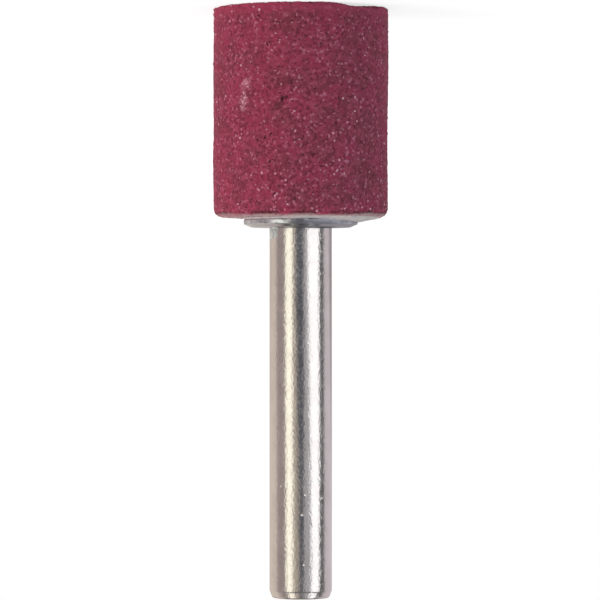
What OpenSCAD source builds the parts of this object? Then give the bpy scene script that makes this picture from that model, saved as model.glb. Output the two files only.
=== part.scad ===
// Mounted point: a cylinder of bonded abrasive cemented to the end of a steel spindle.
// It stands on the free end of its head, at z = 0, and the spindle points up along +Z.

/* [Abrasive head] */
// Diameter of the abrasive head
head_d = 17; // [15:0.2:26]
// Length of the abrasive head, from its free end to its base
head_len = 20.1; // [17:0.1:40]
// Radius of the rubbed edge around the base of the head
base_edge_r = 0.9; // [0.1:0.05:1.5]

/* [Chip in the rim] */
// Depth of the chip in the rim of the free end
chip_depth = 0.3; // [0.1:0.02:0.6]
// Length of the chip along the rim
chip_len = 6; // [2:0.2:8]
// How far the chip runs in from the rim
chip_reach = 3.2; // [0.6:0.1:4]
// Direction of the chip around the axis, in degrees
chip_angle = 227; // [0:1:359]

/* [Shank] */
// Diameter of the shank that a chuck grips
shank_d = 6; // [5.6:0.1:8]
// Length of the shank, from the collar to its tip
shank_len = 35.65; // [20:0.05:60]
// Length of the slim taper at the tip
tip_taper_len = 0.55; // [0.2:0.05:2]
// How much the slim taper takes off the radius
tip_taper_in = 0.2; // [0.05:0.05:0.5]
// Length of the steeper break of the tip's edge
tip_break_len = 0.15; // [0.05:0.05:1]
// How much the steeper break takes off the radius
tip_break_in = 0.1; // [0.05:0.05:1]

/* [Tenon inside the head] */
// Diameter of the tenon and of the neck behind it
tenon_d = 4.4; // [3.4:0.1:5]
// Length of the tenon below the base of the head
tenon_len = 13; // [9:0.5:15]
// Length of the tenon that stays plain below the base
neck_len = 1.5; // [0.5:0.1:3]
// Size of the lead-in at the end of the tenon
lead_in = 0.5; // [0.2:0.1:1]
// Length of the tenon that stays plain above its lead-in
land_len = 0.5; // [0.2:0.1:1]
// Number of flutes rolled along the tenon
flute_count = 18; // [8:1:24]
// Depth of a flute
flute_depth = 0.25; // [0.1:0.05:0.3]
// Number of rings turned into the tenon
ring_count = 3; // [1:1:4]
// Width of a ring
ring_w = 1; // [0.5:0.1:1.4]
// Depth of a ring
ring_depth = 0.45; // [0.2:0.05:0.7]

/* [Collar] */
// Diameter of the collar that bears on the head
collar_d = 11; // [9.5:0.1:13]
// Thickness of the collar
collar_t = 0.75; // [0.6:0.05:1.5]
// Height of the bevel on the shank side of the collar
collar_bevel_h = 0.3; // [0.1:0.05:0.5]
// Width of the bevel on the shank side of the collar
collar_bevel_w = 0.7; // [0.2:0.1:1.2]
// Gap around the neck in the collar's hole
collar_clearance = 0.05; // [0.02:0.01:0.2]

/* [Bonding cement] */
// Thickness of the cement around the tenon
cement_wall = 0.4; // [0.2:0.05:0.8]
// Thickness of the cement below the end of the tenon
cement_floor = 0.6; // [0.3:0.1:1.2]
// Thickness of the cement between the head and the collar
cement_film = 0.2; // [0.1:0.05:0.4]
// How far the film stops short of the collar's rim
film_inset = 0.05; // [0.05:0.05:0.6]
// Height that the squeezed-out bead climbs up the collar's rim
bead_rise = 0.2; // [0.1:0.05:0.4]
// Width of the bead's crest against the collar's rim
bead_crest = 0.1; // [0.05:0.05:0.3]
// Width of bare stone between the bead and the rounded base edge
bead_margin = 0.05; // [0.05:0.05:0.5]
// How far the bead tucks in under the collar on its thin side
bead_tuck = 0.8; // [0.3:0.1:1]

/* [Hidden] */
$fn = 128;

// Overshoot of a cut past the face that it leaves
over = 1;

head_r = head_d / 2;
shank_r = shank_d / 2;
tenon_r = tenon_d / 2;
collar_r = collar_d / 2;

// Heights along the axis
tenon_end_z = head_len - tenon_len;
neck_z = head_len - neck_len;
collar_z = head_len + cement_film;
seat_z = collar_z + collar_t;
tip_z = seat_z + shank_len;

// The blind hole moulded into the head
hole_r = tenon_r + cement_wall;
hole_z = tenon_end_z - cement_floor;

// The bead is a cone set off towards -X, so that it thins out to nothing on the other side
film_r = collar_r - film_inset;
bead_out = head_r - base_edge_r - bead_margin;
bead_in = film_r - bead_tuck;
bead_r = (bead_out + bead_in) / 2;
bead_shift = (bead_out - bead_in) / 2;
bead_h = cement_film + bead_rise;
bead_top_r = collar_r + bead_crest - bead_shift;

// The fluted stretch of the tenon, and the pitch of the rings along it
fluted_z = tenon_end_z + lead_in + land_len;
fluted_len = neck_z - fluted_z;
ring_pitch = fluted_len / (ring_count + 1);

// Half section of the head, with its base edge rubbed round
module head_section() {
  round_r = head_r - base_edge_r;
  round_z = head_len - base_edge_r;
  difference() {
    square([head_r, head_len]);
    translate([round_r, round_z])
      difference() {
        square(base_edge_r + over);
        circle(base_edge_r);
      }
  }
}

// A shallow scoop that leans so that it runs out on the end face
module rim_chip() {
  scoop_r = (pow(chip_len / 2, 2) + pow(chip_depth, 2)) / (2 * chip_depth);
  lean = atan2(chip_depth, chip_reach);
  rotate([0, 0, chip_angle])
    translate([head_r, 0, chip_depth])
      rotate([0, -90 - lean, 0])
        translate([-scoop_r, 0, -over])
          cylinder(r = scoop_r, h = chip_reach + 2 * over);
}

module abrasive_head() {
  color([0.50, 0.22, 0.29])
    difference() {
      rotate_extrude() head_section();
      translate([0, 0, hole_z]) cylinder(r = hole_r, h = head_len - hole_z + over);
      rim_chip();
    }
}

// Half section of the spindle: tenon, neck, shoulder, shank and broken tip
module spindle_section() {
  polygon([
    [0, tenon_end_z],
    [tenon_r - lead_in, tenon_end_z],
    [tenon_r, tenon_end_z + lead_in],
    [tenon_r, seat_z],
    [shank_r, seat_z],
    [shank_r, tip_z - tip_break_len - tip_taper_len],
    [shank_r - tip_taper_in, tip_z - tip_break_len],
    [shank_r - tip_taper_in - tip_break_in, tip_z],
    [0, tip_z],
  ]);
}

// V-shaped flutes along the tenon, which keep it from turning in the cement
module flutes() {
  side = flute_depth * sqrt(2);
  for (i = [0 : flute_count - 1])
    rotate([0, 0, i * 360 / flute_count])
      translate([tenon_r, 0, fluted_z])
        rotate([0, 0, 45])
          translate([-side / 2, -side / 2, 0])
            cube([side, side, fluted_len]);
}

// Square rings turned into the tenon, which lock it lengthwise in the cement
module rings() {
  for (i = [1 : ring_count])
    translate([0, 0, fluted_z + i * ring_pitch - ring_w / 2])
      difference() {
        cylinder(r = tenon_r + over, h = ring_w);
        translate([0, 0, -over]) cylinder(r = tenon_r - ring_depth, h = ring_w + 2 * over);
      }
}

module spindle() {
  color([0.72, 0.71, 0.70])
    difference() {
      rotate_extrude() spindle_section();
      flutes();
      rings();
    }
}

module collar() {
  bore_r = tenon_r + collar_clearance;
  color([0.58, 0.58, 0.60])
    rotate_extrude()
      polygon([
        [bore_r, collar_z],
        [collar_r, collar_z],
        [collar_r, seat_z - collar_bevel_h],
        [collar_r - collar_bevel_w, seat_z],
        [bore_r, seat_z],
      ]);
}

// Cement fills the hole around the tenon, beds the collar and stands out beside it as a bead
module bonding_cement() {
  color([0.74, 0.69, 0.65])
    difference() {
      union() {
        translate([0, 0, hole_z]) cylinder(r = hole_r, h = head_len - hole_z);
        translate([0, 0, head_len]) cylinder(r = film_r, h = cement_film);
        translate([-bead_shift, 0, head_len]) cylinder(r1 = bead_r, r2 = bead_top_r, h = bead_h);
      }
      spindle();
      translate([0, 0, collar_z]) cylinder(r = collar_r, h = bead_h);
    }
}

abrasive_head();
bonding_cement();
collar();
spindle();
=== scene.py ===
import math

import bmesh
import bpy
from mathutils import Matrix, Vector, noise


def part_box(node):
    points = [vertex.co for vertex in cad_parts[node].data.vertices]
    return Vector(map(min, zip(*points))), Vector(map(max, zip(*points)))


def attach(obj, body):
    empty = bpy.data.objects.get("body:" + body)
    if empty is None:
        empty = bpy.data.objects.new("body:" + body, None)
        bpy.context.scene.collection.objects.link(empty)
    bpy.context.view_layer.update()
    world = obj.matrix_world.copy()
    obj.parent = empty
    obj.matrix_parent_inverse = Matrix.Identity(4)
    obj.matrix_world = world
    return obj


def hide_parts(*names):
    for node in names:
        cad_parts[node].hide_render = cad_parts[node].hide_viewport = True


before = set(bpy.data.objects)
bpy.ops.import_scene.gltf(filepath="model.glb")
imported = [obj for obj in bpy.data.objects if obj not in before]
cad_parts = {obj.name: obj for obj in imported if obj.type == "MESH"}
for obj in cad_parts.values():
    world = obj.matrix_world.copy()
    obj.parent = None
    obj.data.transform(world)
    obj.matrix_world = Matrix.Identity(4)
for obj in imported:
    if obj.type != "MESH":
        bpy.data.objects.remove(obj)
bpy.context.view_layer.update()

MM = 0.001
BODY = "root"

# Sizes read from the frame, in metres
head_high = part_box("abrasive_head")[1]
collar_low, collar_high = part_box("collar")
spindle_low, spindle_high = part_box("spindle")
HEAD_R = head_high.x
BASE_Z = head_high.z
COLLAR_R = collar_high.x
COLLAR_Z = collar_low.z
SEAT_Z = collar_high.z
SHANK_R = spindle_high.x
TENON_END_Z = spindle_low.z
TIP_Z = spindle_high.z

# Sizes of the turned steel that the frame's boxes don't give
TENON_R = 2.2 * MM
LEAD_IN = 0.5 * MM
LAND = 0.5 * MM
NECK = 1.5 * MM
FLUTES = 18
FLUTE_DEPTH = 0.25 * MM
RINGS = 3
RING_W = 1.0 * MM
RING_DEPTH = 0.45 * MM
TIP_TAPER_IN = 0.2 * MM
TIP_TAPER_LEN = 0.55 * MM
TIP_BREAK_IN = 0.1 * MM
TIP_BREAK_LEN = 0.15 * MM
COLLAR_BEVEL_W = 0.7 * MM
COLLAR_BEVEL_H = 0.3 * MM
COLLAR_GAP = 0.05 * MM
BEVEL_Z = SEAT_Z - COLLAR_BEVEL_H
EDGE_SOFT = 0.09 * MM
FACING_PITCH = 0.22 * MM
SEGMENTS = FLUTES * 12

# The cone of squeezed-out cement: its radii at the stone and at its top, how far its middle is off the
# axis towards -X, and its height
BEAD_R = 6.1 * MM
BEAD_TOP_R = 4.15 * MM
BEAD_SHIFT = 1.45 * MM
BEAD_RISE = 0.4 * MM

# Distances in metres within which points become one: in a CAD copy, in a fresh turning and in a
# finished piece
CAD_MERGE = 1e-6
TURNED_MERGE = 4e-6
PIECE_MERGE = 2e-6

# The photograph: its size, its scale at the axis, and where the axis and the free end are in it. It shows
# the part head up, so the camera is turned over; it is level, at the height of the photograph's middle
IMAGE_PX = 600
FOCAL_PX = 3180.0
SENSOR_MM = 36.0
PIXELS_PER_M = 10370.0
AXIS_PX = 300.7
END_FACE_PX = 9.15
EYE = Vector((AXIS_PX - IMAGE_PX / 2, -FOCAL_PX, IMAGE_PX / 2 - END_FACE_PX)) / PIXELS_PER_M


def near_side(px, py, radius):
    """The point of a round piece's near side that the photograph shows at a pixel."""
    ray = Vector((IMAGE_PX / 2 - px, FOCAL_PX, py - IMAGE_PX / 2)).normalized()
    flat = ray.xy.dot(ray.xy)
    half = EYE.xy.dot(ray.xy)
    rest = EYE.xy.dot(EYE.xy) - radius ** 2
    return EYE + ray * (-half - math.sqrt(half ** 2 - flat * rest)) / flat


# Marks of use on the near side: the middle of each and its size, and how dark a pit is
SCUFFS = [
    (near_side(245.0, 84.0, HEAD_R), 0.42 * MM),
    (near_side(243.5, 92.5, HEAD_R), 0.22 * MM),
    (near_side(243.0, 100.5, HEAD_R), 0.42 * MM),
    (near_side(242.5, 108.5, HEAD_R), 0.28 * MM),
]
PIT_R = HEAD_R - 0.15 * MM
PITS = [
    (near_side(282.5, 98.5, PIT_R), 0.28 * MM, 1.0),
    (near_side(286.0, 97.0, PIT_R), 0.22 * MM, 0.8),
    (near_side(277.0, 104.0, PIT_R), 0.36 * MM, 0.5),
    (near_side(290.5, 81.0, PIT_R), 0.36 * MM, 0.5),
    (near_side(292.0, 20.0, PIT_R), 0.24 * MM, 0.6),
    (near_side(313.0, 154.0, PIT_R), 0.24 * MM, 0.6),
    (near_side(318.0, 45.0, PIT_R), 0.28 * MM, 0.4),
]
NICKS = [
    near_side(302.0, 515.0, SHANK_R),
    near_side(310.5, 524.0, SHANK_R),
    near_side(304.0, 565.0, SHANK_R),
    near_side(305.5, 495.0, SHANK_R),
    near_side(321.5, 498.0, SHANK_R),
    near_side(281.0, 486.0, SHANK_R),
]
NICK_R = 0.14 * MM


class Wire:
    """A socket of a node tree. Arithmetic on wires adds Math nodes."""

    def __init__(self, bench, socket):
        self.bench = bench
        self.socket = socket

    def __add__(self, other):
        return self.bench.maths("ADD", self, other)

    def __sub__(self, other):
        return self.bench.maths("SUBTRACT", self, other)

    def __rsub__(self, other):
        return self.bench.maths("SUBTRACT", other, self)

    def __mul__(self, other):
        return self.bench.maths("MULTIPLY", self, other)

    def __truediv__(self, other):
        return self.bench.maths("DIVIDE", self, other)

    def __rtruediv__(self, other):
        return self.bench.maths("DIVIDE", other, self)

    def __gt__(self, other):
        return self.bench.maths("GREATER_THAN", self, other)

    __radd__ = __add__
    __rmul__ = __mul__

    def step(self, low, high):
        """0 below low and 1 above high, with a smooth rise between them; low may be the larger."""
        limits = {"Value": self, "From Min": low, "From Max": high}
        return self.bench.node("ShaderNodeMapRange", {"interpolation_type": "SMOOTHSTEP"}, limits)

    def part(self, index):
        """One component of a vector."""
        return self.bench.node("ShaderNodeSeparateXYZ", {}, {0: self}, index)

    def from_axis(self):
        """How far a place is from the Z axis."""
        x, y = self.part(0), self.part(1)
        return self.bench.maths("SQRT", x * x + y * y)

    def scaled(self, factor):
        """A vector times a number."""
        return self.bench.node("ShaderNodeVectorMath", {"operation": "SCALE"}, {0: self, "Scale": factor})

    def stretched(self, factors):
        """A vector with each component times its own factor."""
        return self.bench.node("ShaderNodeVectorMath", {"operation": "MULTIPLY"}, {0: self, 1: factors})

    def far_from(self, point):
        """How far a place is from a point."""
        return self.bench.node("ShaderNodeVectorMath", {"operation": "DISTANCE"}, {0: self, 1: point}, 1)


class Bench:
    """A node tree that is being built."""

    # Outputs of a pattern of cells
    CELL_DISTANCE = 0
    CELL_COLOUR = 1

    def __init__(self, tree):
        self.tree = tree

    def node(self, kind, settings=None, sockets=None, out=0):
        """Adds a node: its settings first, then the value or wire of each socket. Gives one output."""
        made = self.tree.nodes.new(kind)
        for name, value in (settings or {}).items():
            setattr(made, name, value)
        for key, value in (sockets or {}).items():
            for each in value if isinstance(value, list) else [value]:
                if isinstance(each, Wire):
                    self.tree.links.new(each.socket, made.inputs[key])
                else:
                    made.inputs[key].default_value = each
        return Wire(self, made.outputs[out]) if made.outputs else None

    def maths(self, operation, *values):
        """A Math node."""
        return self.node("ShaderNodeMath", {"operation": operation}, dict(enumerate(values)))

    def noise(self, vector, size, detail=2.0, rough=0.5):
        """Smooth noise from 0 to 1, with lumps about one size across."""
        sockets = {"Vector": vector, "Scale": 1 / size, "Detail": detail, "Roughness": rough}
        return self.node("ShaderNodeTexNoise", {}, sockets)

    def cells(self, vector, size, out):
        """A pattern of cells about one size across."""
        return self.node("ShaderNodeTexVoronoi", {}, {"Vector": vector, "Scale": 1 / size}, out)

    def mix(self, factor, first, second):
        """A colour between two."""
        sockets = {0: factor, 6: first, 7: second}
        return self.node("ShaderNodeMix", {"data_type": "RGBA"}, sockets, 2)


class Finish(Bench):
    """A material on the bench, with the place on the piece in metres as its pattern's ground."""

    def __init__(self, name):
        self.material = bpy.data.materials.new(name)
        self.material.use_nodes = True
        super().__init__(self.material.node_tree)
        self.tree.nodes.clear()
        self.place = self.node("ShaderNodeTexCoord", {}, {}, 3)

    def bump(self, height, distance):
        """A normal that follows a height."""
        return self.node("ShaderNodeBump", {}, {"Height": height, "Distance": distance, "Strength": 1.0})

    def principled(self, **sockets):
        """Ends the material with its shader. A socket's name has an underscore for each space."""
        named = {name.replace("_", " "): value for name, value in sockets.items()}
        shader = self.node("ShaderNodeBsdfPrincipled", {}, named)
        self.node("ShaderNodeOutputMaterial", {}, {"Surface": shader})
        return self.material


def rgb(red, green, blue):
    return (red, green, blue, 1.0)


# Materials

PLUM_BRIGHT = rgb(0.275, 0.033, 0.070)
PLUM_DULL = rgb(0.200, 0.035, 0.057)
GRAIN_RED = rgb(0.36, 0.068, 0.118)
GRAIN_PINK = rgb(0.46, 0.15, 0.22)
BOND_SHADE = rgb(0.10, 0.015, 0.029)
PORE_SHADE = rgb(0.065, 0.012, 0.021)
# A painted highlight: brighter red along the rim of the free end
RIM_HIGHLIGHT_RED = rgb(0.36, 0.045, 0.094)
PIT_SHADE = rgb(0.03, 0.008, 0.012)
SCUFF_HAZE = rgb(0.50, 0.22, 0.29)
SCUFF_CRUMB = rgb(0.66, 0.35, 0.43)
SEAM_SHADE = rgb(0.06, 0.012, 0.018)
CEMENT_SMEAR = rgb(0.52, 0.43, 0.40)

# Where each mark of the stone begins and is full: the painted highlight along the rim of the free end, the
# dark line below the base, the smear on the rubbed edge and over the base, and where the smear climbs and
# thins at the sides.
# Left and right are the photograph's
RIM_HIGHLIGHT_BAND = (1.3 * MM, 0.3 * MM)
SEAM_FOOT = (BASE_Z - 0.5 * MM, BASE_Z - 0.36 * MM)
SEAM_TOP = (BASE_Z - 0.14 * MM, BASE_Z - 0.26 * MM)
SMEAR_EDGE = (BASE_Z - 0.26 * MM, BASE_Z - 0.04 * MM)
SMEAR_INWARD = (HEAD_R, HEAD_R - 2.0 * MM)
SMEAR_CLIMBS_LEFT = (4.6 * MM, 6.6 * MM)
SMEAR_CLIMBS_RIGHT = (-4.6 * MM, -6.6 * MM)
SMEAR_THINS = (4.6 * MM, 6.2 * MM)


def bonded_abrasive():
    """Plum-red aluminium oxide in a glassy bond: packed grains, dark pores, marks of use, and a painted
    highlight along the rim of the free end.
    """
    f = Finish("bonded_abrasive")
    grain = f.cells(f.place, 0.3 * MM, f.CELL_COLOUR).part(0)
    fine = f.noise(f.place, 0.25 * MM, rough=0.55)
    pore = f.noise(f.place, 0.38 * MM, rough=0.6)
    patch = f.noise(f.place, 2.2 * MM, detail=3.0, rough=0.6)
    colour = f.mix(patch.step(0.4, 0.62), PLUM_BRIGHT, PLUM_DULL)
    colour = f.mix(grain.step(0.3, 1.0) * 0.6, colour, GRAIN_RED)
    colour = f.mix(fine.step(0.51, 0.34) * 0.75, colour, BOND_SHADE)
    colour = f.mix(pore.step(0.37, 0.29), colour, PORE_SHADE)
    pink = f.cells(f.place, 0.2 * MM, f.CELL_COLOUR).part(1).step(0.88, 0.99)
    colour = f.mix(pink * 0.75, colour, GRAIN_PINK)
    # Painted highlight: the colour turns brighter red towards the free end's rim
    dressed = f.place.part(2).step(*RIM_HIGHLIGHT_BAND)
    colour = f.mix(dressed * 0.65, colour, RIM_HIGHLIGHT_RED)
    colour = marks_of_use(f, colour, fine)
    colour = base_edge(f, colour, fine, pore, patch)
    normal = f.bump(fine + 0.6 * pore.step(0.25, 0.4), 0.05 * MM)
    return f.principled(Base_Color=colour, Roughness=0.8, Specular_IOR_Level=0.18, Normal=normal)


def marks_of_use(f, colour, fine):
    """Dark pits, and pale scuffs with crumbs of crushed grain in a haze."""
    for spot, radius, dark in PITS:
        hole = f.place.far_from(spot) + (fine - 0.5) * 2.4 * radius
        colour = f.mix(hole.step(radius, 0.4 * radius) * 0.85 * dark, colour, PIT_SHADE)
    crumbs = f.cells(f.place, 0.17 * MM, f.CELL_COLOUR).part(2).step(0.35, 0.8)
    for spot, radius in SCUFFS:
        rubbed = f.place.far_from(spot) + (fine - 0.5) * 4.0 * radius
        haze = rubbed.step(1.7 * radius, 0.3 * radius)
        crushed = rubbed.step(1.4 * radius, 0.4 * radius) * crumbs
        colour = f.mix(haze * 0.4, colour, SCUFF_HAZE)
        colour = f.mix(crushed * 0.85, colour, SCUFF_CRUMB)
    return colour


def base_edge(f, colour, fine, pore, patch):
    """A broken dark line below the base, and cement smeared over the rubbed edge and the base."""
    x, z = f.place.part(0), f.place.part(2)
    seam = z.step(*SEAM_FOOT) * z.step(*SEAM_TOP)
    colour = f.mix(seam * patch.step(0.36, 0.52) * 0.7, colour, SEAM_SHADE)
    inward = f.place.from_axis().step(*SMEAR_INWARD)
    climb = x.step(*SMEAR_CLIMBS_RIGHT) + x.step(*SMEAR_CLIMBS_LEFT)
    ragged_z = z + climb * 0.16 * MM + (fine - 0.5) * 0.2 * MM + (patch - 0.5) * 0.3 * MM
    smear = ragged_z.step(*SMEAR_EDGE)
    smear = smear * (1 - 0.25 * x.step(*SMEAR_THINS)) * (0.7 + 0.3 * patch.step(0.4, 0.55))
    smear = smear * (1 - 0.5 * pore.step(0.42, 0.32)) * (0.8 + 0.2 * fine.step(0.35, 0.6))
    return f.mix(smear * (0.45 + 0.5 * inward), colour, CEMENT_SMEAR)


PALE_GRAIN_PINK = rgb(0.47, 0.16, 0.23)
PALE_GRAIN_WHITE = rgb(0.60, 0.30, 0.38)


def glassy_grain():
    """A pale grain that catches the light."""
    f = Finish("glassy_grain")
    tone = f.noise(f.place, 0.5 * MM, detail=1.0)
    colour = f.mix(tone.step(0.35, 0.65), PALE_GRAIN_PINK, PALE_GRAIN_WHITE)
    return f.principled(Base_Color=colour, Roughness=0.4, Specular_IOR_Level=0.25)


SHANK_DULL = rgb(0.59, 0.56, 0.54)
SHANK_BRIGHT = rgb(0.65, 0.62, 0.60)

# Heights between which the ground flank turns into the faced end
FACED_END = (TIP_Z - 0.03 * MM, TIP_Z - 0.01 * MM)


def ground_steel():
    """The bright shank: finely mottled from grinding, with a few nicks and a turned end face."""
    f = Finish("ground_steel")
    mottle = f.noise(f.place.stretched((1.0, 1.0, 0.8)), 0.24 * MM)
    cloud = f.noise(f.place, 2.5 * MM, detail=3.0, rough=0.6)
    speck = f.noise(f.place, 0.26 * MM, detail=1.0).step(0.4, 0.66)
    colour = f.mix(cloud.step(0.35, 0.7), SHANK_DULL, SHANK_BRIGHT)
    ring = f.maths("SINE", f.place.from_axis() * math.tau / FACING_PITCH)
    faced = f.place.part(2).step(*FACED_END)
    height = mottle * (1 - 0.6 * faced) + 0.3 * ring * faced
    for spot in NICKS:
        height = height - 2.0 * f.place.far_from(spot).step(NICK_R, 0.2 * NICK_R)
    normal = f.bump(height, 0.022 * MM)
    rough = 0.09 + 0.13 * cloud + 0.09 * speck
    return f.principled(Base_Color=colour, Metallic=1.0, Roughness=rough, Normal=normal)


COLLAR_DARK = rgb(0.36, 0.38, 0.42)
COLLAR_LIGHT = rgb(0.61, 0.64, 0.69)
# A painted dark reflection, bluish
COLLAR_PAINTED_REFLECTION = rgb(0.16, 0.17, 0.22)
COLLAR_DULL = rgb(0.17, 0.18, 0.22)
COLLAR_WORN = rgb(0.42, 0.43, 0.45)

# Where each mark of the collar begins and is full: the painted dark reflection across it and up it, the
# dull side, the end where both fade, and the bevel between its lower and its upper edge
DARK_REFLECTION_SIDE = (1.6 * MM, 0.6 * MM)
DARK_REFLECTION_RISE = (BEVEL_Z - 0.4 * MM, BEVEL_Z - 0.1 * MM)
DULL_SIDE = (-0.4 * MM, -1.4 * MM)
FADING_END = (-2.6 * MM, -3.8 * MM)
WORN_FOOT = (BEVEL_Z, BEVEL_Z + 0.1 * MM)
WORN_TOP = (SEAT_Z - 0.005 * MM, SEAT_Z - 0.03 * MM)


def pressed_steel():
    """The duller collar, with a painted dark reflection over its -X half and its bevel worn bright."""
    f = Finish("pressed_steel")
    cloud = f.noise(f.place, 0.8 * MM, detail=4.0, rough=0.65)
    z = f.place.part(2)
    ragged_x = f.place.part(0) + (cloud - 0.5) * 2.0 * MM
    fading = 1 - 0.7 * ragged_x.step(*FADING_END)
    # Painted dark reflection over the collar's -X half, from just below the bevel up to the seat, fading at
    # the far end
    dark_reflection = ragged_x.step(*DARK_REFLECTION_SIDE) * z.step(*DARK_REFLECTION_RISE) * fading
    dull = ragged_x.step(*DULL_SIDE) * fading
    worn = z.step(*WORN_FOOT) * z.step(*WORN_TOP)
    colour = f.mix(cloud.step(0.36, 0.6), COLLAR_DARK, COLLAR_LIGHT)
    colour = f.mix(dark_reflection * 0.6, colour, COLLAR_PAINTED_REFLECTION)
    colour = f.mix(dull * 0.5, colour, COLLAR_DULL)
    colour = f.mix(worn * 0.8, colour, COLLAR_WORN)
    normal = f.bump(cloud * (1 - 0.8 * worn), 0.06 * MM)
    rough = (0.2 + 0.2 * cloud + 0.12 * dark_reflection + 0.2 * dull) * (1 - 0.7 * worn)
    return f.principled(Base_Color=colour, Metallic=1.0, Roughness=rough, Normal=normal)


GLAZE_DARK = rgb(0.27, 0.31, 0.29)
GLAZE_PALE = rgb(0.47, 0.52, 0.49)


def glazed_cement():
    """Cement that ran thin and set grey-green with a shine."""
    f = Finish("glazed_cement")
    stain = f.noise(f.place, 0.4 * MM)
    colour = f.mix(stain.step(0.35, 0.65), GLAZE_DARK, GLAZE_PALE)
    return f.principled(Base_Color=colour, Roughness=0.22, Normal=f.bump(stain, 0.05 * MM))


CEMENT_CREAM = rgb(0.53, 0.47, 0.45)
CEMENT_GREY = rgb(0.42, 0.40, 0.42)
CEMENT_GRIT = rgb(0.36, 0.31, 0.30)
STONE_DUST = rgb(0.34, 0.17, 0.19)


def set_cement():
    """Pale matt cement, a little stained and pitted, with red dust of the stone on it."""
    f = Finish("set_cement")
    stain = f.noise(f.place, 1.1 * MM, detail=3.0, rough=0.6)
    grit = f.noise(f.place, 0.12 * MM)
    dust = f.noise(f.place, 0.5 * MM, detail=3.0, rough=0.65)
    colour = f.mix(stain.step(0.35, 0.7), CEMENT_CREAM, CEMENT_GREY)
    colour = f.mix(grit.step(0.55, 0.75) * 0.5, colour, CEMENT_GRIT)
    colour = f.mix(dust.step(0.5, 0.68) * 0.45, colour, STONE_DUST)
    return f.principled(Base_Color=colour, Roughness=0.7, Normal=f.bump(grit, 0.03 * MM))


# Building pieces

def in_scene(name, data):
    """A new object in the scene for a mesh, a lamp or a camera."""
    obj = bpy.data.objects.new(name, data)
    bpy.context.scene.collection.objects.link(obj)
    return obj


def smooth_mesh(name, bm, finish):
    """Ends a bmesh as a smooth mesh of one finish, with its faces outwards."""
    bmesh.ops.recalc_face_normals(bm, faces=bm.faces)
    mesh = bpy.data.meshes.new(name)
    bm.to_mesh(mesh)
    bm.free()
    mesh.shade_smooth()
    mesh.materials.append(finish)
    return mesh


def new_tree(name, inputs):
    """A Geometry Nodes tree with named inputs. Gives the bench, its input wires and their identifiers."""
    tree = bpy.data.node_groups.new(name, "GeometryNodeTree")
    tree.interface.new_socket("Geometry", in_out="OUTPUT", socket_type="NodeSocketGeometry")
    sockets = {}
    for label, kind in inputs.items():
        sockets[label] = tree.interface.new_socket(label, in_out="INPUT", socket_type="NodeSocket" + kind)
    bench = Bench(tree)
    entry = tree.nodes.new("NodeGroupInput")
    wires = {label: Wire(bench, entry.outputs[label]) for label in inputs}
    return bench, wires, {label: socket.identifier for label, socket in sockets.items()}


def run_tree(name, mesh, bench, identifiers, values, before=None):
    """Runs a tree on a mesh and gives the object with the result as a plain mesh."""
    obj = in_scene(name, mesh)
    if before:
        before(obj)
    modifier = obj.modifiers.new(name, "NODES")
    modifier.node_group = bench.tree
    for label, value in values.items():
        modifier[identifiers[label]] = value
    evaluated = obj.evaluated_get(bpy.context.evaluated_depsgraph_get())
    plain = bpy.data.meshes.new_from_object(evaluated)
    obj.modifiers.clear()
    obj.data = plain
    plain.name = name
    return obj


def swap_in(obj, node):
    """Puts a finished piece on the frame in the place of its CAD node."""
    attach(obj, BODY)
    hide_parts(node)


def add_cement(name, mesh):
    """Puts a piece of cement on the frame beside its CAD node."""
    obj = in_scene(name, mesh)
    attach(obj, BODY)


def merged_copy(node):
    """A CAD node's mesh with its loose triangles joined up."""
    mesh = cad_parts[node].data.copy()
    mesh.materials.clear()
    bm = bmesh.new()
    bm.from_mesh(mesh)
    bmesh.ops.remove_doubles(bm, verts=bm.verts, dist=CAD_MERGE)
    bm.to_mesh(mesh)
    bm.free()
    return mesh


# Turned steel

STRAIGHT = math.radians(178)
ARC_STEPS = 4
ARC_HOLD = 0.05 * MM

# Radius of the circle that an outline is turned on, which is next to nothing
TURNING_R = 1e-6
FLUTE_TOLERANCE = 1e-6


def rounded(outline, reach):
    """An outline whose corners are arcs that start a reach before them, held by a point on either side."""
    points = [Vector(outline[0])]
    for before, corner, after in zip(outline, outline[1:], outline[2:]):
        corner = Vector(corner)
        into = Vector(before) - corner
        out = Vector(after) - corner
        if into.angle(out) > STRAIGHT:
            points.append(corner)
            continue
        arc = min(reach, into.length / 3, out.length / 3)
        into.normalize()
        out.normalize()
        keep = min(ARC_HOLD, arc)
        points.append(corner + into * (arc + keep))
        for i in range(ARC_STEPS + 1):
            share = i / ARC_STEPS
            start = into * (arc * (1 - share) ** 2)
            end = out * (arc * share ** 2)
            points.append(corner + start + end)
        points.append(corner + out * (arc + keep))
    points.append(Vector(outline[-1]))
    return points


def outline_mesh(name, points, closed):
    """A run of edges from pairs of radius and height; turning lays the second along -Y of the outline."""
    mesh = bpy.data.meshes.new(name)
    edges = [(i, i + 1) for i in range(len(points) - 1)]
    if closed:
        edges.append((len(points) - 1, 0))
    mesh.from_pydata([(p[0], -p[1], 0.0) for p in points], edges, [])
    return mesh


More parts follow.
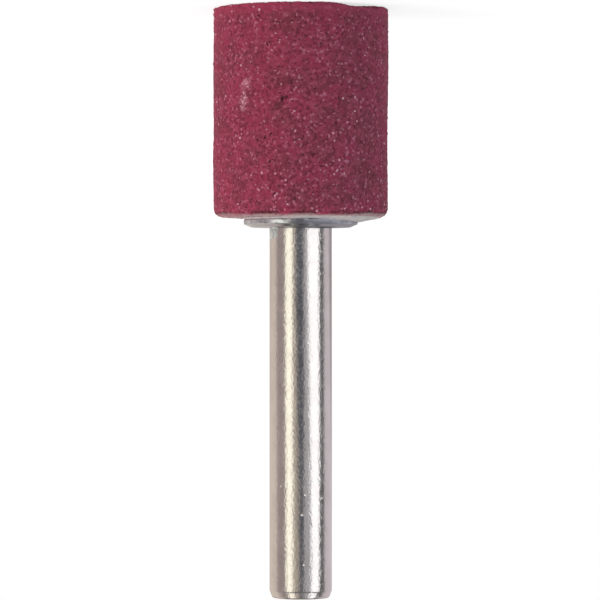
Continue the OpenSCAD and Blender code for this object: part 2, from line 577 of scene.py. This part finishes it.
def turning_tree():
    """Turns an outline around the axis, and rolls flutes into one stretch of it."""
    b, wire, ids = new_tree("turning", {
        "Outline": "Geometry",
        "Segments": "Int",
        "Flutes": "Int",
        "Flute depth": "Float",
        "Flute radius": "Float",
        "Flutes from": "Float",
        "Flutes to": "Float",
        "Finish": "Material",
    })
    profile = b.node("GeometryNodeMeshToCurve", {}, {"Mesh": wire["Outline"]})
    circle = b.node("GeometryNodeCurvePrimitiveCircle", {}, {
        "Resolution": wire["Segments"], "Radius": TURNING_R,
    })
    turned = b.node("GeometryNodeCurveToMesh", {}, {"Curve": circle, "Profile Curve": profile})
    turned = b.node("GeometryNodeMergeByDistance", {}, {"Geometry": turned, "Distance": TURNED_MERGE})
    spot = b.node("GeometryNodeInputPosition")
    x, y, z = spot.part(0), spot.part(1), spot.part(2)
    turn = b.maths("ARCTAN2", y, x) * wire["Flutes"] / math.tau
    off = b.maths("ABSOLUTE", turn - b.maths("ROUND", turn)) * math.tau / wire["Flutes"]
    groove = b.maths("MAXIMUM", wire["Flute depth"] - off * wire["Flute radius"], 0.0)
    outside = spot.from_axis() > wire["Flute radius"] - FLUTE_TOLERANCE
    inside = (z > wire["Flutes from"]) * (wire["Flutes to"] > z) * outside
    inward = b.node("ShaderNodeCombineXYZ", {}, {
        "X": 0 - x * groove * inside / wire["Flute radius"],
        "Y": 0 - y * groove * inside / wire["Flute radius"],
    })
    fluted = b.node("GeometryNodeSetPosition", {}, {"Geometry": turned, "Offset": inward})
    smooth = b.node("GeometryNodeSetShadeSmooth", {}, {"Geometry": fluted})
    plain = b.node("GeometryNodeRealizeInstances", {}, {"Geometry": smooth})
    coated = b.node("GeometryNodeSetMaterial", {}, {"Geometry": plain, "Material": wire["Finish"]})
    b.node("NodeGroupOutput", {}, {"Geometry": coated})
    return b, ids


def turned_piece(name, points, finish, closed=False, fluted=(0.0, 0.0)):
    """A piece turned from its outline, with flutes between two heights."""
    bench, ids = turning_tree()
    values = {
        "Segments": SEGMENTS,
        "Flutes": FLUTES,
        "Flute depth": FLUTE_DEPTH,
        "Flute radius": TENON_R,
        "Flutes from": fluted[0],
        "Flutes to": fluted[1],
        "Finish": finish,
    }
    obj = run_tree(name, outline_mesh(name, points, closed), bench, ids, values)
    close_poles(obj.data)
    return obj


def close_poles(mesh):
    """Closes the poles of a turned piece and turns its faces outwards."""
    bm = bmesh.new()
    bm.from_mesh(mesh)
    bmesh.ops.remove_doubles(bm, verts=bm.verts, dist=PIECE_MERGE)
    bmesh.ops.recalc_face_normals(bm, faces=bm.faces)
    bm.to_mesh(mesh)
    bm.free()


def spindle():
    """The fluted and ringed tenon, its neck and shoulder, the shank and its broken tip."""
    fluted_z = TENON_END_Z + LEAD_IN + LAND
    neck_z = BASE_Z - NECK
    pitch = (neck_z - fluted_z) / (RINGS + 1)
    ring_r = TENON_R - RING_DEPTH
    taper_z = TIP_Z - TIP_BREAK_LEN
    outline = [
        (0.0, TENON_END_Z),
        (TENON_R - LEAD_IN, TENON_END_Z),
        (TENON_R, TENON_END_Z + LEAD_IN),
        (TENON_R, fluted_z),
    ]
    for i in range(RINGS):
        low = fluted_z + (i + 1) * pitch - RING_W / 2
        outline += [(TENON_R, low), (ring_r, low), (ring_r, low + RING_W), (TENON_R, low + RING_W)]
    outline += [
        (TENON_R, neck_z),
        (TENON_R, SEAT_Z),
        (SHANK_R, SEAT_Z),
        (SHANK_R, taper_z - TIP_TAPER_LEN),
        (SHANK_R - TIP_TAPER_IN, taper_z),
        (SHANK_R - TIP_TAPER_IN - TIP_BREAK_IN, TIP_Z),
        (0.0, TIP_Z),
    ]
    points = rounded(outline, EDGE_SOFT)
    obj = turned_piece("turned_spindle", points, ground_steel(), fluted=(fluted_z, neck_z))
    swap_in(obj, "spindle")


def collar():
    """The flat collar. Its outline starts on a face, so that every corner of it is softened."""
    bore_r = TENON_R + COLLAR_GAP
    start = ((bore_r + COLLAR_R) / 2, COLLAR_Z)
    outline = [
        start,
        (COLLAR_R, COLLAR_Z),
        (COLLAR_R, BEVEL_Z),
        (COLLAR_R - COLLAR_BEVEL_W, SEAT_Z),
        (bore_r, SEAT_Z),
        (bore_r, COLLAR_Z),
        start,
    ]
    points = rounded(outline, EDGE_SOFT)[:-1]
    obj = turned_piece("turned_collar", points, pressed_steel(), closed=True)
    swap_in(obj, "collar")


# The head

VOXEL = 0.16 * MM

# The values of noise at which each pattern begins and is full
PORES = (0.62, 0.74)
SWAY = (0.3, 0.7)
NIBBLES = (0.46, 0.66)
PALE_PATCHES = (0.4, 0.68)

# The scale of the smallest and the largest pale grain
SMALL_GRAIN = (0.35, 0.35, 0.35)
LARGE_GRAIN = (1.0, 1.0, 1.0)
FULL_TURN = (math.tau, math.tau, math.tau)


def remeshed(obj):
    """Gives a stone an even mesh, which its relief can move."""
    modifier = obj.modifiers.new("even_mesh", "REMESH")
    modifier.mode = "VOXEL"
    modifier.voxel_size = VOXEL


def grit_tree():
    """Roughens a smooth stone with grains, pores, pits and a crumbled rim, and sets pale grains into it."""
    b, wire, ids = new_tree("grit", {
        "Stone": "Geometry",
        "Stone radius": "Float",
        "Stone length": "Float",
        "Grain size": "Float",
        "Grain height": "Float",
        "Pore size": "Float",
        "Pore depth": "Float",
        "Pit depth": "Float",
        "Rim width": "Float",
        "Nibble size": "Float",
        "Nibble depth": "Float",
        "Sway size": "Float",
        "Sway": "Float",
        "Pale grains per m2": "Float",
        "Pale patch size": "Float",
        "Pale grain radius": "Float",
        "Seed": "Int",
        "Stone finish": "Material",
        "Pale finish": "Material",
    })
    spot = b.node("GeometryNodeInputPosition")
    normal = b.node("GeometryNodeInputNormal")
    x, y, z = spot.part(0), spot.part(1), spot.part(2)
    from_axis = spot.from_axis()
    rim_r = wire["Stone radius"] - wire["Rim width"]
    rim = z.step(wire["Rim width"], 0.0) * from_axis.step(rim_r, wire["Stone radius"])
    flank = 1 - normal.part(2) * normal.part(2)
    depth = b.cells(spot, wire["Grain size"], b.CELL_DISTANCE) * wire["Grain height"]
    depth = depth + b.noise(spot, wire["Pore size"]).step(*PORES) * wire["Pore depth"]
    depth = depth + b.noise(spot, wire["Sway size"]).step(*SWAY) * wire["Sway"] * flank
    depth = depth + b.noise(spot, wire["Nibble size"]).step(*NIBBLES) * wire["Nibble depth"] * rim
    for middle, radius, dark in PITS:
        depth = depth + spot.far_from(middle).step(radius, 0.3 * radius) * dark * wire["Pit depth"]
    sunk = normal.scaled(0 - depth)
    rough = b.node("GeometryNodeSetPosition", {}, {"Geometry": wire["Stone"], "Offset": sunk})
    rough = b.node("GeometryNodeSetShadeSmooth", {}, {"Geometry": rough})
    rough = b.node("GeometryNodeSetMaterial", {}, {"Geometry": rough, "Material": wire["Stone finish"]})
    pale_patch = b.noise(spot, wire["Pale patch size"]).step(*PALE_PATCHES)
    points = b.node("GeometryNodeDistributePointsOnFaces", {}, {
        "Mesh": rough, "Density": wire["Pale grains per m2"] * pale_patch, "Seed": wire["Seed"],
    })
    crystal = b.node("GeometryNodeMeshIcoSphere", {}, {"Radius": wire["Pale grain radius"]})
    size = b.node("FunctionNodeRandomValue", {"data_type": "FLOAT_VECTOR"}, {
        0: SMALL_GRAIN, 1: LARGE_GRAIN, "Seed": wire["Seed"],
    })
    turn = b.node("FunctionNodeRandomValue", {"data_type": "FLOAT_VECTOR"}, {
        0: (0.0, 0.0, 0.0), 1: FULL_TURN, "Seed": wire["Seed"],
    })
    grains = b.node("GeometryNodeInstanceOnPoints", {}, {
        "Points": points, "Instance": crystal, "Rotation": turn, "Scale": size,
    })
    grains = b.node("GeometryNodeRealizeInstances", {}, {"Geometry": grains})
    pull = b.maths("MINIMUM", 1.0, wire["Stone radius"] / from_axis)
    level = b.maths("MAXIMUM", 0.0, b.maths("MINIMUM", z, wire["Stone length"]))
    dressed = b.node("ShaderNodeCombineXYZ", {}, {"X": x * pull, "Y": y * pull, "Z": level})
    grains = b.node("GeometryNodeSetPosition", {}, {"Geometry": grains, "Position": dressed})
    grains = b.node("GeometryNodeSetShadeSmooth", {}, {"Geometry": grains, "Shade Smooth": False})
    grains = b.node("GeometryNodeSetMaterial", {}, {"Geometry": grains, "Material": wire["Pale finish"]})
    whole = b.node("GeometryNodeJoinGeometry", {}, {"Geometry": [rough, grains]})
    b.node("NodeGroupOutput", {}, {"Geometry": whole})
    return b, ids


def abrasive_head():
    """The stone in the form of its CAD node, with its grains and marks."""
    bench, ids = grit_tree()
    values = {
        "Stone radius": HEAD_R,
        "Stone length": BASE_Z,
        "Grain size": 0.4 * MM,
        "Grain height": 0.06 * MM,
        "Pore size": 0.7 * MM,
        "Pore depth": 0.08 * MM,
        "Pit depth": 0.2 * MM,
        "Rim width": 0.6 * MM,
        "Nibble size": 0.7 * MM,
        "Nibble depth": 0.2 * MM,
        "Sway size": 9.0 * MM,
        "Sway": 0.12 * MM,
        "Pale grains per m2": 0.7e6,
        "Pale patch size": 3.0 * MM,
        "Pale grain radius": 0.165 * MM,
        "Seed": 7,
        "Stone finish": bonded_abrasive(),
        "Pale finish": glassy_grain(),
    }
    obj = run_tree("stone", merged_copy("abrasive_head"), bench, ids, values, remeshed)
    swap_in(obj, "abrasive_head")


# The cement

# The bead's skin: its points around and across, how thick it is, how far it spreads past the cone and
# reaches down into the stone, and the turn over which its ends thin out
SKIN_AROUND = 500
SKIN_ACROSS = 28
SKIN_LIP = 0.04 * MM
SKIN_SPREAD = 0.03 * MM
SKIN_ROOT = 0.2 * MM
SKIN_FADE = math.radians(20)

# Waves of unevenness: the height and the size of each
RAGGED_EDGE = [(0.5 * MM, 1.3 * MM), (0.25 * MM, 0.5 * MM), (0.12 * MM, 0.2 * MM)]
LUMPS = [(0.04 * MM, 0.6 * MM), (0.03 * MM, 0.22 * MM)]

# The drop on the shank: its place in the photograph, its thickness, half its width and half its height,
# how far it sinks into the steel, and how uneven it is
RUN_PX = (272.2, 231.5)
RUN_THICK = 0.12 * MM
RUN_HALF_WIDE = 1.0 * MM
RUN_HALF_HIGH = 0.75 * MM
RUN_SINK = 0.02 * MM
RUN_SWELL = 0.12


def bonding_cement(finish):
    """Gives the cement's CAD node its finish."""
    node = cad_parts["bonding_cement"]
    node.data.materials.clear()
    node.data.materials.append(finish)


def uneven(spot, waves):
    """Smooth noise around 0, the same on every run."""
    return sum(height * noise.noise(spot / size) for height, size in waves)


def bead_reach(turn, radius):
    """How far a circle around the bead's own middle is from the axis, at a turn from its thick side."""
    return BEAD_SHIFT * math.cos(turn) + math.sqrt(radius ** 2 - (BEAD_SHIFT * math.sin(turn)) ** 2)


def bead_row(bm, turn, last):
    """One section of the bead's skin, from its root at the collar's rim to its root under the edge."""
    out = Vector((-math.cos(turn), -math.sin(turn), 0))
    fade = min(1.0, (last - abs(turn)) / SKIN_FADE)
    edge = bead_reach(turn, BEAD_R)
    crest = BEAD_RISE * (edge - COLLAR_R) / (edge - bead_reach(turn, BEAD_TOP_R))
    ragged = max(uneven(out * edge, RAGGED_EDGE), 0.0)
    width = edge + (SKIN_SPREAD + ragged) * fade - COLLAR_R
    root = Vector((0, 0, BASE_Z - SKIN_ROOT))
    row = [bm.verts.new(out * COLLAR_R + root)]
    for j in range(SKIN_ACROSS + 1):
        share = j / SKIN_ACROSS
        spot = out * (COLLAR_R + width * share)
        thick = (SKIN_LIP + uneven(spot, LUMPS)) * math.sqrt(1 - share ** 4)
        height = crest * (1 - share) + thick
        row.append(bm.verts.new(spot + Vector((0, 0, BASE_Z + height * fade))))
    row.append(bm.verts.new(out * (COLLAR_R + width) + root))
    return row


def bead_skin(finish):
    """The ragged, lumpy skin of the squeezed-out bead, from the collar's rim down onto the stone."""
    last = math.acos((BEAD_R ** 2 - BEAD_SHIFT ** 2 - COLLAR_R ** 2) / (-2 * BEAD_SHIFT * COLLAR_R))
    bm = bmesh.new()
    rows = [bead_row(bm, last * (2 * i / SKIN_AROUND - 1), last) for i in range(SKIN_AROUND + 1)]
    size = len(rows[0])
    for near, far in zip(rows, rows[1:]):
        for j in range(size):
            k = (j + 1) % size
            bm.faces.new((near[j], near[k], far[k], far[j]))
    bm.faces.new(rows[0])
    bm.faces.new(list(reversed(rows[-1])))
    bmesh.ops.remove_doubles(bm, verts=bm.verts, dist=PIECE_MERGE)
    add_cement("bead_skin", smooth_mesh("bead_skin", bm, finish))


def cement_run():
    """A drop of cement that ran from the collar onto the shank and set there."""
    middle = near_side(*RUN_PX, SHANK_R)
    out = Vector((middle.x, middle.y, 0)).normalized()
    along = Vector((0, 0, 1))
    across = along.cross(out)
    bm = bmesh.new()
    bmesh.ops.create_icosphere(bm, subdivisions=4, radius=1.0)
    for vert in bm.verts:
        p = vert.co
        swell = 1 + RUN_SWELL * math.sin(5 * p.z + 1) * math.cos(4 * p.y)
        turn = p.y * RUN_HALF_WIDE * swell / SHANK_R
        reach = SHANK_R - RUN_SINK + RUN_THICK * max(p.x, 0.0) * swell
        flat = out * math.cos(turn) + across * math.sin(turn)
        vert.co = flat * reach + along * (middle.z + p.z * RUN_HALF_HIGH * swell)
    add_cement("cement_run", smooth_mesh("cement_run", bm, glazed_cement()))


# The studio. Lengths and heights are in metres. Bearings are in degrees from the camera's side, positive
# towards the photograph's right

WHITE = rgb(1, 1, 1)
SURROUND = 0.5
FLOOR_SIZE = 6.0
FLOOR_GREY = rgb(0.4, 0.4, 0.4)

# The floor's own glow, which makes up for what the lamps lack there
LAMPS_REACH = (0.2, 0.6)
GLOW_NEAR = rgb(0.69, 0.69, 0.69)
GLOW_FAR = rgb(0.83, 0.83, 0.83)

# Each lamp's bearing, width, height, power and colour
LAMP_AWAY = 0.4
LAMP_Z = 0.15
LAMPS = {
    "left_key": (-75, 0.6, 0.6, 2.45, (1.0, 0.80, 0.86)),
    "left_fill": (-46, 0.15, 0.3, 0.25, (1.0, 0.94, 0.78)),
    "right_fill": (48, 0.2, 0.3, 0.72, (0.62, 1.0, 1.0)),
    "back_fill": (180, 0.4, 0.4, 1.1, (1.0, 0.95, 0.92)),
}

# The tent's walls, and the bearings between which the warm one turns into the cool one
TENT_R = 0.065
TENT_HEIGHT = 0.5
TENT_SEGMENTS = 96
WARM_WALL = rgb(0.87, 0.76, 0.68)
COOL_WALL = rgb(0.80, 0.73, 0.78)
WALLS_MEET = (-40, 40)

# The strips that the steel mirrors: the bearings of each one's edges at the head's end and at the tip's
# end, the width of its soft edges, and its brightness. They lean between the two heights
TENT_LEAN = (0.018, 0.058)
STRIPS = {
    "left_edge": ((-200, -135), (-200, -150), 20, rgb(0.72, 0.64, 0.59)),
    "left_gap": ((-100, -56), (-96, -53), 16, rgb(0.44, 0.37, 0.36)),
    "cream_light": ((-57.5, -31), (-54, -29), 9, rgb(1.72, 1.68, 1.44)),
    "brown_board": ((-28, -16), (-25, -5), 9, rgb(0.56, 0.50, 0.43)),
    "dark_gap": ((-20, 12), (-6, 13), 9, rgb(0.12, 0.13, 0.16)),
    "grey_board": ((15, 40), (15, 45), 10, rgb(0.52, 0.52, 0.55)),
    "white_light": ((25, 70), (39, 72), 7, rgb(1.75, 1.75, 1.80)),
    "right_gap": ((72, 92), (74, 96), 6, rgb(0.14, 0.15, 0.16)),
    "right_edge": ((128, 200), (160, 200), 20, rgb(0.42, 0.38, 0.40)),
}

# A dark belt across the front, which the collar's bevel and the tip mirror, the dull top, and the foot,
# which fades to white
BELT_TONE = rgb(0.20, 0.19, 0.20)
BELT_RISE = (0.069, 0.075)
BELT_END = (0.103, 0.092)
BELT_LEFT = (-82, -62)
BELT_RIGHT = (112, 92)
TOP_TONE = rgb(0.25, 0.21, 0.19)
TENT_TOP = (0.14, 0.2)
TENT_FOOT = (0.018, 0.0)


def seen_directly(bench):
    """1 where the eye, a reflection or glass looks straight at a surface, 0 for the light it throws."""
    camera_ray, glossy_ray, glass_ray = [bench.node("ShaderNodeLightPath", {}, {}, i) for i in (0, 3, 6)]
    return bench.maths("MINIMUM", camera_ray + glossy_ray + glass_ray, 1.0)


def surround():
    """A world that looks white and lights the object less than that."""
    world = bpy.data.worlds.new("surround")
    bpy.context.scene.world = world
    world.use_nodes = True
    world.node_tree.nodes.clear()
    b = Bench(world.node_tree)
    strength = SURROUND + (1.0 - SURROUND) * seen_directly(b)
    sky = b.node("ShaderNodeBackground", {}, {"Color": WHITE, "Strength": strength})
    b.node("ShaderNodeOutputWorld", {}, {"Surface": sky})


def floor():
    """A floor that looks white and keeps the object's shadow."""
    f = Finish("pale_floor")
    pale = f.node("ShaderNodeBsdfDiffuse", {}, {"Color": FLOOR_GREY})
    away = f.place.far_from((0.0, 0.0, 0.0))
    white = f.mix(away.step(*LAMPS_REACH), GLOW_NEAR, GLOW_FAR)
    glow = f.node("ShaderNodeEmission", {}, {"Color": white, "Strength": seen_directly(f)})
    both = f.node("ShaderNodeAddShader", {}, {0: pale, 1: glow})
    f.node("ShaderNodeOutputMaterial", {}, {"Surface": both})
    half = FLOOR_SIZE / 2
    corners = [(-half, -half, 0), (half, -half, 0), (half, half, 0), (-half, half, 0)]
    mesh = bpy.data.meshes.new("floor")
    mesh.from_pydata(corners, [], [(0, 1, 2, 3)])
    mesh.materials.append(f.material)
    in_scene("floor", mesh)


def softbox(name, bearing, width, height, power, colour):
    """A lamp at a bearing, aimed at the axis, which no reflection shows."""
    data = bpy.data.lights.new(name, "AREA")
    data.shape = "RECTANGLE"
    data.size = width
    data.size_y = height
    data.energy = power
    data.color = colour
    angle = math.radians(bearing)
    spot = Vector((-math.sin(angle) * LAMP_AWAY, -math.cos(angle) * LAMP_AWAY, LAMP_Z))
    aim = Vector((0, 0, LAMP_Z)) - spot
    obj = in_scene(name, data)
    obj.matrix_world = Matrix.Translation(spot) @ aim.to_track_quat("-Z", "Y").to_matrix().to_4x4()
    obj.visible_camera = False
    obj.visible_glossy = False


def tent_glow():
    """The tent's light: strips on a wall that turns from warm to cool, the belt, the top and the foot."""
    f = Finish("light_tent")
    x, y, z = f.place.part(0), f.place.part(1), f.place.part(2)
    bearing = f.maths("DEGREES", f.maths("ARCTAN2", 0 - x, 0 - y))
    lean = z.step(*TENT_LEAN)
    colour = f.mix(bearing.step(*WALLS_MEET), WARM_WALL, COOL_WALL)
    for head_end, tip_end, soft, tone in STRIPS.values():
        left, right = [low + (high - low) * lean for low, high in zip(head_end, tip_end)]
        inside = (bearing - left).step(-soft / 2, soft / 2) * (right - bearing).step(-soft / 2, soft / 2)
        colour = f.mix(inside, colour, tone)
    across = bearing.step(*BELT_LEFT) * bearing.step(*BELT_RIGHT)
    colour = f.mix(z.step(*BELT_RISE) * z.step(*BELT_END) * across, colour, BELT_TONE)
    colour = f.mix(z.step(*TENT_TOP), colour, TOP_TONE)
    colour = f.mix(z.step(*TENT_FOOT), colour, WHITE)
    glow = f.node("ShaderNodeEmission", {}, {"Color": colour})
    f.node("ShaderNodeOutputMaterial", {}, {"Surface": glow})
    return f.material


def light_tent():
    """A round wall of boards and lights that shows only in what is glossy."""
    bm = bmesh.new()
    bmesh.ops.create_cone(bm, segments=TENT_SEGMENTS, radius1=TENT_R, radius2=TENT_R, depth=TENT_HEIGHT)
    bmesh.ops.translate(bm, verts=bm.verts, vec=(0, 0, TENT_HEIGHT / 2))
    mesh = bpy.data.meshes.new("light_tent")
    bm.to_mesh(mesh)
    bm.free()
    mesh.materials.append(tent_glow())
    obj = in_scene("light_tent", mesh)
    obj.visible_camera = False
    obj.visible_diffuse = False
    obj.visible_shadow = False
    obj.visible_transmission = False


def camera():
    """The photograph's camera, turned over."""
    data = bpy.data.cameras.new("camera")
    data.sensor_width = SENSOR_MM
    data.lens = FOCAL_PX * SENSOR_MM / IMAGE_PX
    upside_down = Matrix(((-1, 0, 0), (0, 0, -1), (0, -1, 0))).to_4x4()
    obj = in_scene("camera", data)
    obj.matrix_world = Matrix.Translation(EYE) @ upside_down
    bpy.context.scene.camera = obj


abrasive_head()
spindle()
collar()
cement = set_cement()
bonding_cement(cement)
bead_skin(cement)
cement_run()
surround()
floor()
light_tent()
for name, settings in LAMPS.items():
    softbox(name, *settings)
camera()
bpy.context.scene.view_settings.view_transform = "Standard"
